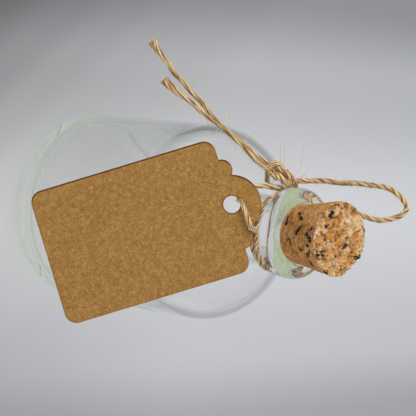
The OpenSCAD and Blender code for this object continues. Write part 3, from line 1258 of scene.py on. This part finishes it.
TIE_POINTS = ((-0.7, 15, -9.5), (-1.9, 12, -7.5), (-2.8, 9.5, -5), (-3.2, 7, -3), (-2.6, 4.5, -2),
              (-1.5, 3.1, -1.5), (-0.95, 2.35, -0.95), (-0.7, 2, -0.45), (-0.6, 1.9, 0), (-0.55, 2.1, 0.5),
              (-0.2, 2.6, 0.95), (1, 2.9, 1.3), (3, 3.1, 1.4), (5.4, 3.2, 1.4), (7.4, 3.3, 1.4),
              (8.5, 3.6, 1.2), (8.8, 4, 0.5), (8.9, 4.2, -0.4), (9.3, 4.3, -1.4))
TIE_CROSSING = 9  # the points up to the one that lies in the tag's hole

# The knot's strands: each one's girth and its points, from the knot's middle along the picture's right,
# its up and the way to the camera.
KNOT_STRANDS = (
    (Girth(0.8, 1.0, 0.75), ((-4.4, 3, 0.5), (-3.1, 2.2, 0.8), (-2, 1.4, 1.1), (-0.65, 0.3, 1.4),
                             (0.9, -1, 1.3), (2.1, -2.2, 0.7), (2.9, -3.3, -0.3))),
    (Girth(0.7, 0.8, 0.75), ((-3.8, 4, 0.2), (-2.2, 3.3, 0.6), (-0.1, 2.4, 1), (1.6, 1.3, 1.2), (3.1, 0, 0.9),
                             (4, -1.4, 0.4), (4.5, -2.8, -0.4))),
    (Girth(0.8, 0.9, 0.8), ((-2.5, 2.4, -0.6), (0.4, 0.8, -0.1), (2.1, -0.6, 0.1), (3.3, -1.9, 0.1),
                            (3.9, -3.3, -0.4))),
    (Girth(0.38, 0.42, 0.4), ((-3.55, -1.6, 0.4), (-3.6, -0.3, 1.2), (-3.55, 0.9, 1.9), (-3.2, 2.2, 2.3),
                              (-2.4, 3.2, 2.1), (-1.3, 3.7, 1.7), (-0.2, 3.5, 1.2), (0.5, 2.8, 0.4),
                              (0.8, 2.2, -0.6))),
    (Girth(0.38, 0.42, 0.4), ((-4.2, -1.4, 0.1), (-4.3, 0, 0.9), (-4.2, 1.3, 1.6), (-3.8, 2.6, 1.8),
                              (-2.9, 3.7, 1.6), (-1.5, 4.3, 0.9), (-0.1, 4, 0.4), (0.7, 3, -0.4))),
    (Girth(0.4, 0.5, 0.5), ((1.9, 2, 0.2), (3, 0.9, 0.9), (3.9, -0.5, 1.1), (4.6, -2, 0.6), (5, -3.2, -0.4))),
    (Girth(0.22, 0.25, 0.22), ((2.3, -3, 0.5), (3.3, -2.2, 1.3), (4.3, -1.5, 1.1), (5, -1.2, 0.2))),
    (Girth(0.55, 0.8, 0.45), ((-4, -2.4, -1), (-2.4, -2.5, -0.2), (-0.9, -2.8, 0.3), (0.4, -3.2, 0.1),
                              (1.6, -3.7, -0.7))),
    (Girth(0.4, 0.55, 0.4), ((-3.4, -3.1, -1), (-1.9, -3.5, -0.3), (-0.5, -3.8, -0.3), (0.9, -4.2, -1))))

# The long loose fibres, the last of them the small curl beside the loose ends. Each is a few fibres wide.
WISPS = (
    ((-19, -2.5, 93), (-21.5, -3.5, 93.5), (-25, -4.5, 94), (-27, -4, 94.5), (-28.5, -2.5, 94.5),
     (-29.5, -0.5, 95)),
    ((-19.5, -1.5, 93.5), (-21.5, -1, 93), (-25, -1.5, 92.5), (-27, -1.5, 92.5)),
    ((-17, 1, 96), (-18.5, 2.5, 96), (-22, 2.5, 96.5), (-26, 2.5, 96.5), (-28, 1.5, 95.5), (-28.5, 1, 95)),
    ((-39, -24, 74.5), (-41, -24.5, 75), (-44, -25, 74.5), (-46, -24.5, 75), (-47, -24, 75.5)),
    ((-31.5, -15, 82), (-34.5, -15.5, 81.5), (-37, -16.5, 80.5)),
    ((-43, -28.5, 70.5), (-45.5, -29, 69.5), (-48, -29.5, 69)),
    ((-15.5, 4, 95.5), (-17.5, 4.5, 96), (-19.5, 5.5, 97), (-21, 7.5, 98.5)),
    ((-34, -28, 73.5), (-33, -29.5, 72), (-34, -31.5, 70), (-35, -33.5, 68.5)),
    ((-32.5, -20, 77), (-29.5, -20, 78), (-28, -20, 78.5), (-27, -19.5, 79), (-27, -18.5, 79.5),
     (-25, -18.5, 79.5)))
WISP_SHIFTS = ((0, 0, 0), (0.09, 0.1, 0), (-0.08, 0.06, 0.08), (0, -0.1, 0.1))


@dataclass
class TwineWork:
    """All the twine: turns round the neck, knot, hang loop, two loose ends and the tie through the tag."""

    tag_place: Matrix
    picture_axes: tuple[Vector, Vector, Vector]
    maker: PliedTwine = PliedTwine()
    tail_middle: float = 0.7  # the loose ends have opened a little, and are thinner along their middle
    tail_tip: float = 1.25
    loop_girth: float = 0.79
    tie_girth: float = 0.7
    tie_pinch: float = 0.26  # at the edge of the tag's hole
    wrap_start: float = 200.0  # angle round the neck where the turns begin
    wrap_points: int = 48  # of each turn
    wrap_slack: float = 0.12
    wrap_girth: float = 0.92
    drawn_at: float = 215.0  # angle round the neck where the knot pulls on the turns
    drawn_span: float = 75.0
    drawn_less: float = 0.24
    drawn_up: float = 0.5
    far_at: float = 80.0  # middle of the far half, where the turns are tight and lie a little lower
    far_span: tuple[float, float] = (72.0, 105.0)
    far_less: float = 0.16
    far_down: float = 0.4
    knot_at: tuple[float, float, float] = (-15.9, -2.2, -1.4)  # from the turns' middle

    def __post_init__(self) -> None:
        """Reads the turns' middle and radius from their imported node."""
        low, high = (Vector(corner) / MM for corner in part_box("neck_wraps"))
        self.wrap_z = (low.z + high.z) / 2
        self.wrap_step = high.z - low.z - self.maker.diameter
        self.wrap_r = (high.x - low.x - self.maker.diameter) / 2
        self.fuzz = Fuzz()
        self.finish = JuteFibre().material()

    def from_wraps(self, points: Iterable[Sequence[float]]) -> Route:
        """Takes points from the turns' middle into the bottle's frame."""
        return Route(tuple(Vector(p) + Vector((0, 0, self.wrap_z)) for p in points))

    def fixed(self, name: str, mesh: bpy.types.Mesh, nodes: Sequence[str] = ()) -> None:
        """Shows a piece of twine that stays as it is on the bottle."""
        show(name, mesh, self.finish, Body.BOTTLE, Slot.JUTE, nodes)

    def cord(self, name: str, node: str, route: Route, girth: Girth, seed: float,
             maker: PliedTwine, with_pieces: Sequence[bpy.types.Object] = ()) -> None:
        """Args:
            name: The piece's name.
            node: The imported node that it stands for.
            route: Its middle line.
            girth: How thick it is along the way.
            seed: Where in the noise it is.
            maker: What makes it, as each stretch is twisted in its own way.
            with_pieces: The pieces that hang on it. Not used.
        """
        mesh = maker.strands([(route, girth.at)], seed)
        piece = show(name, mesh, self.finish, Body.BOTTLE, Slot.JUTE, [node])
        path = [tuple(p * MM) for p in route.spaced(0.5)]
        route.length() * MM
        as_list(with_pieces)
        log.info("%s: %.1f mm long", name, route.length())

    def hang_loop(self) -> None:
        """Makes the loop from the knot out past the cork and back to the neck."""
        route = self.from_wraps(LOOP_POINTS)
        g = self.loop_girth
        loose = replace(self.maker, groove=0.16)
        self.cord("loop_twine", "hang_loop", route, Girth(g, g, g), seed=3.0, maker=loose)
        self.fuzz.along(route, per_mm=4.5, length=1.6, radius=self.maker.diameter / 2 * g)

    def tails(self) -> None:
        """Makes the two loose ends, with a brush of cut fibres at each tip."""
        loose = replace(self.maker, lay=26.0, groove=0.2, bundle_run=7.0)
        for name, node, points, start, run, seed in (
                ("tail_long_twine", "tail_long", LONG_POINTS, 0.9, 6.5, 11.0),
                ("tail_short_twine", "tail_short", SHORT_POINTS, 0.5, 11.0, 23.0)):
            route = self.from_wraps(points)
            girth = Girth(start=start, middle=self.tail_middle, end=self.tail_tip, run=run)
            self.cord(name, node, route, girth, seed, maker=loose)
            self.fuzz.along(route, per_mm=5.0, length=1.8, radius=self.maker.diameter / 2 * self.tail_middle)
            self.fuzz.tip(route, count=70, radius=self.maker.diameter / 2 * self.tail_tip)

    def tag_tie(self, tag: bpy.types.Object) -> None:
        """Makes the stretch from the knot through the tag's hole to the turns.

        Args:
            tag: The card that hangs on it.
        """
        route = Route(tuple(self.tag_place @ Vector(p) for p in TIE_POINTS))
        g = self.tie_girth
        loose = replace(self.maker, lay=16.0, groove=0.16, tone=0.66)
        girth = Girth(g, g, g, pinch=self.tie_pinch, pinch_at=Route(route.points[:TIE_CROSSING]).length())
        self.cord("tie_twine", "tag_tie", route, girth, seed=31.0, maker=loose,
                  with_pieces=[tag])
        front = self.tag_place.to_3x3() @ Vector((0, 0, 1))
        self.fuzz.along(route, per_mm=8.0, length=1.0, radius=self.maker.diameter / 2 * g,
                        outward=lambda _: front)

    def knot(self) -> None:
        """Makes the knot: two strands side by side, with bights drawn round them."""
        middle = Vector(self.knot_at) + Vector((0, 0, self.wrap_z))
        right, up, back = self.picture_axes
        lines = []
        for girth, points in KNOT_STRANDS:
            route = Route(tuple(middle + right * x + up * y + back * z for x, y, z in points))
            lines.append((route, girth.at))
            self.fuzz.along(route, per_mm=5.0, length=1.0, radius=self.maker.diameter / 2 * girth.middle,
                            outward=lambda _: up + back)
        self.fixed("knot_twine", self.maker.strands(lines, seed=61.0), ["knot"])

    def wisps(self) -> None:
        """Adds the long loose fibres, then shows all the fibres."""
        for points in WISPS:
            way = Route(tuple(Vector(p) for p in points)).spaced(0.6)
            for shift in WISP_SHIFTS:
                self.fuzz.strands.append([p + Vector(shift) for p in way])
        self.fixed("loose_fibres", self.fuzz.mesh())

    def drawn(self, degrees: float) -> float:
        """Gives 1 beside the knot, which pulls on the turns, and 0 away from it."""
        return near_angle(degrees, self.drawn_at, self.drawn_span / 2, self.drawn_span)

    def far(self, degrees: float) -> float:
        """Gives 1 on the far half of the neck and 0 on the near half."""
        return near_angle(degrees, self.far_at, *self.far_span)

    def less(self, degrees: float) -> float:
        """Gives how much thinner the turns are at an angle round the neck, as a share."""
        return self.drawn_less * self.drawn(degrees) + self.far_less * self.far(degrees)

    def wraps(self) -> None:
        """Makes the two turns round the neck, as one length that steps down behind the knot.

        They are drawn thin and close together beside the knot, which pulls on them.
        """
        points = []
        for i in range(2 * self.wrap_points + 1):
            degrees = self.wrap_start + 360 * i / self.wrap_points
            less = self.less(degrees)
            step_down = smooth_share(0.9, 1.1, i / self.wrap_points)
            slack = self.wrap_slack * (0.5 + 0.5 * noise.noise(Vector((i / 9, 2.7, 0))))
            radius = self.wrap_r + slack - less * self.maker.diameter / 2
            z = self.wrap_z + self.wrap_step * (1 - less) * (0.5 - step_down)
            z += self.drawn_up * self.drawn(degrees) - self.far_down * self.far(degrees)
            z += 0.1 * noise.noise(Vector((i / 11, 9.1, 0))) - slack * 0.5
            points.append(around(math.radians(degrees), radius, z))
        route = Route(tuple(points))
        rough_r = self.wrap_r + self.wrap_slack / 2

        def girth(done: float, _left: float) -> float:
            """Gives the girth at a place along the turns."""
            return self.wrap_girth - self.less(self.wrap_start + math.degrees(done / rough_r))

        self.fixed("wrap_twine", self.maker.strands([(route, girth)], seed=47.0), ["neck_wraps"])
        self.fuzz.along(route, per_mm=2.0, length=0.9, radius=self.maker.diameter / 2,
                        outward=lambda p: Vector((p.x, p.y, 0)).normalized())


@dataclass(frozen=True)
class View:
    """The photograph's view of the bottle, from a camera fitted to its outlines."""

    eye: tuple[float, float, float] = (-4.2, -368.4, 453.2)
    axis_tilt: float = 43.25  # of the bottle's axis out of the picture's plane
    axis_drop: float = 7.11  # of its axis below level, in the picture
    lens: float = 150.0
    sensor: float = 36.0
    reach: tuple[float, float] = (0.01, 20.0)  # nearest and farthest thing that shows, in metres

    def axes(self) -> tuple[Vector, Vector, Vector]:
        """Gives the picture's own directions.

        Returns:
            Its right, its up and the way back to the camera, in the bottle's frame.
        """
        a = math.radians(self.axis_tilt)
        b = math.radians(self.axis_drop)
        right = Vector((-math.sin(b), math.cos(a) * math.cos(b), math.sin(a) * math.cos(b)))
        up = Vector((-math.cos(b), -math.cos(a) * math.sin(b), -math.sin(a) * math.sin(b)))
        return right, up, right.cross(up)

    def camera(self) -> None:
        """Makes the scene's camera."""
        data = bpy.data.cameras.new("camera")
        data.lens = self.lens
        data.sensor_width = self.sensor
        data.clip_start, data.clip_end = self.reach
        camera = place_in_scene("camera", data)
        turn = Matrix(self.axes()).transposed().to_4x4()
        camera.matrix_world = Matrix.Translation(Vector(self.eye) * MM) @ turn
        bpy.context.scene.camera = camera


@dataclass(frozen=True)
class Lamp:
    """A soft round lamp that points at the bottle."""

    name: str
    way: tuple[float, float, float]  # towards it: shares of the picture's right, up and way to the camera
    distance: float  # in metres, as its width
    width: float
    power: float  # in watts
    aim: tuple[float, float, float] = (0.0, 0.0, 0.06)

    def build(self, view: View) -> None:
        """Puts the lamp in the scene. It doesn't show in the glass, as no lamp does in the photograph.

        Args:
            view: The photograph's view.
        """
        towards = sum((axis * share for axis, share in zip(view.axes(), self.way)), Vector()).normalized()
        data = bpy.data.lights.new(self.name, "AREA")
        data.shape = "DISK"
        data.size = self.width
        data.energy = self.power
        lamp = place_in_scene(self.name, data)
        lamp.matrix_world = (Matrix.Translation(Vector(self.aim) + towards * self.distance)
                             @ towards.to_track_quat("Z", "Y").to_matrix().to_4x4())
        lamp.visible_glossy = lamp.visible_transmission = False


@dataclass(frozen=True)
class Shade:
    """A floor's painted shade in soft bands, from one side to the other: places in millimetres and colours.
    """

    tones: tuple[tuple[float, str], ...]
    slant: float  # by which the bands turn from the Y axis


@dataclass(frozen=True)
class Studio:
    """A pale floor with painted shade, and soft light."""

    view: View
    # painted shade: darkest towards the picture's top, with a darker band towards its bottom
    background: Shade = Shade((
        (-260.0, "#E2E3E5"), (-105.0, "#919294"), (-80.0, "#919294"), (-48.0, "#B9BABC"), (5.0, "#DADBDD"),
        (52.0, "#CECED2"), (82.0, "#AFAFB4"), (95.0, "#B4B4B8"), (260.0, "#E2E3E5")), 0.08)
    corner: Shade = Shade((  # painted shade: the darker upper left of the picture
        (-300.0, "#FFFFFF"), (-125.0, "#AAAAAA"), (-105.0, "#AAAAAA"), (-80.0, "#CDCDCD"), (-60.0, "#E2E2E2"),
        (-40.0, "#F0F0F0"), (-20.0, "#F6F6F6"), (12.0, "#FFFFFF")), 1.0)
    floor_reach: float = 3.0  # from its middle to its edge, in metres
    lamps: tuple[Lamp, ...] = (
        Lamp("key", (0.55, 0.62, 0.6), distance=0.6, width=0.35, power=2.1),
        Lamp("fill", (-0.2, -0.7, 0.7), distance=0.7, width=0.5, power=0.9))
    world: str = "#EDEFF2"
    world_strength: float = 0.62
    light_bounces: int = 96  # inside the glass, where light runs a long way

    def floor(self) -> None:
        """Makes the floor: pale paper with painted shade, whose tones run as the photograph's background
        does.
        """
        plane = bmesh.new()
        bmesh.ops.create_grid(plane, x_segments=1, y_segments=1, size=self.floor_reach)
        thing = place_in_scene("floor", to_mesh(plane, "floor"))
        material, tree = new_material("paper_floor_painted_shade")
        place = add_node(tree, "TexCoord")
        parts = add_node(tree, "SeparateXYZ", {}, {0: place.outputs["Object"]})
        colours = []
        for shade in (self.background, self.corner):
            across = add_node(tree, "Math", {"operation": "MULTIPLY_ADD", 1: shade.slant},
                              {0: parts.outputs["Y"], 2: parts.outputs["X"]})
            first, last = shade.tones[0][0], shade.tones[-1][0]
            share = add_node(tree, "MapRange", {"From Min": first * MM, "From Max": last * MM},
                             {"Value": across.outputs[0]})
            tint = add_node(tree, "ValToRGB",
                            {"stops": [((x - first) / (last - first), tone) for x, tone in shade.tones]},
                            {"Fac": share.outputs[0]})
            tint.color_ramp.interpolation = "EASE"
            colours.append(tint.outputs["Color"])
        shaded = add_node(tree, "Mix", {"data_type": "RGBA", "blend_type": "MULTIPLY", 0: 1.0},
                          dict(zip((MIX_A, MIX_B), colours)))
        skin = add_node(tree, "BsdfPrincipled", {"Roughness": 0.9},
                        {"Base Color": shaded.outputs[MIX_RESULT]})
        add_node(tree, "OutputMaterial", {}, {"Surface": skin.outputs[0]})
        thing.data.materials.append(material)

    def surroundings(self) -> None:
        """Sets the soft light from all round."""
        world = bpy.data.worlds.new("studio")
        world.use_nodes = True
        tree = world.node_tree
        tree.nodes.clear()
        light = add_node(tree, "Background", {"Color": linear(self.world), "Strength": self.world_strength})
        add_node(tree, "OutputWorld", {}, {"Surface": light.outputs[0]})
        bpy.context.scene.world = world

    def build(self) -> None:
        """Makes the floor, the surroundings and the lamps."""
        self.floor()
        self.surroundings()
        for lamp in self.lamps:
            lamp.build(self.view)
        scene = bpy.context.scene
        scene.view_settings.view_transform = "Standard"
        scene.cycles.max_bounces = 2 * self.light_bounces
        scene.cycles.glossy_bounces = self.light_bounces
        scene.cycles.transmission_bounces = 2 * self.light_bounces


def main() -> None:
    """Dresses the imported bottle."""
    logging.basicConfig(level=logging.INFO, format="%(name)s %(message)s")
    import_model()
    noise.seed_set(NOISE_SEED)
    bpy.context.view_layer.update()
    view = View()
    view.camera()
    tag, tag_place = KraftTag().build(KraftCard())
    twine = TwineWork(tag_place, view.axes())
    twine.hang_loop()
    twine.tails()
    twine.tag_tie(tag)
    twine.wraps()
    twine.knot()
    twine.wisps()
    GlassBottle().build(BlownGlass())
    CorkStopper().build(PressedCork())
    Studio(view).build()


if __name__ == "__main__":
    main()
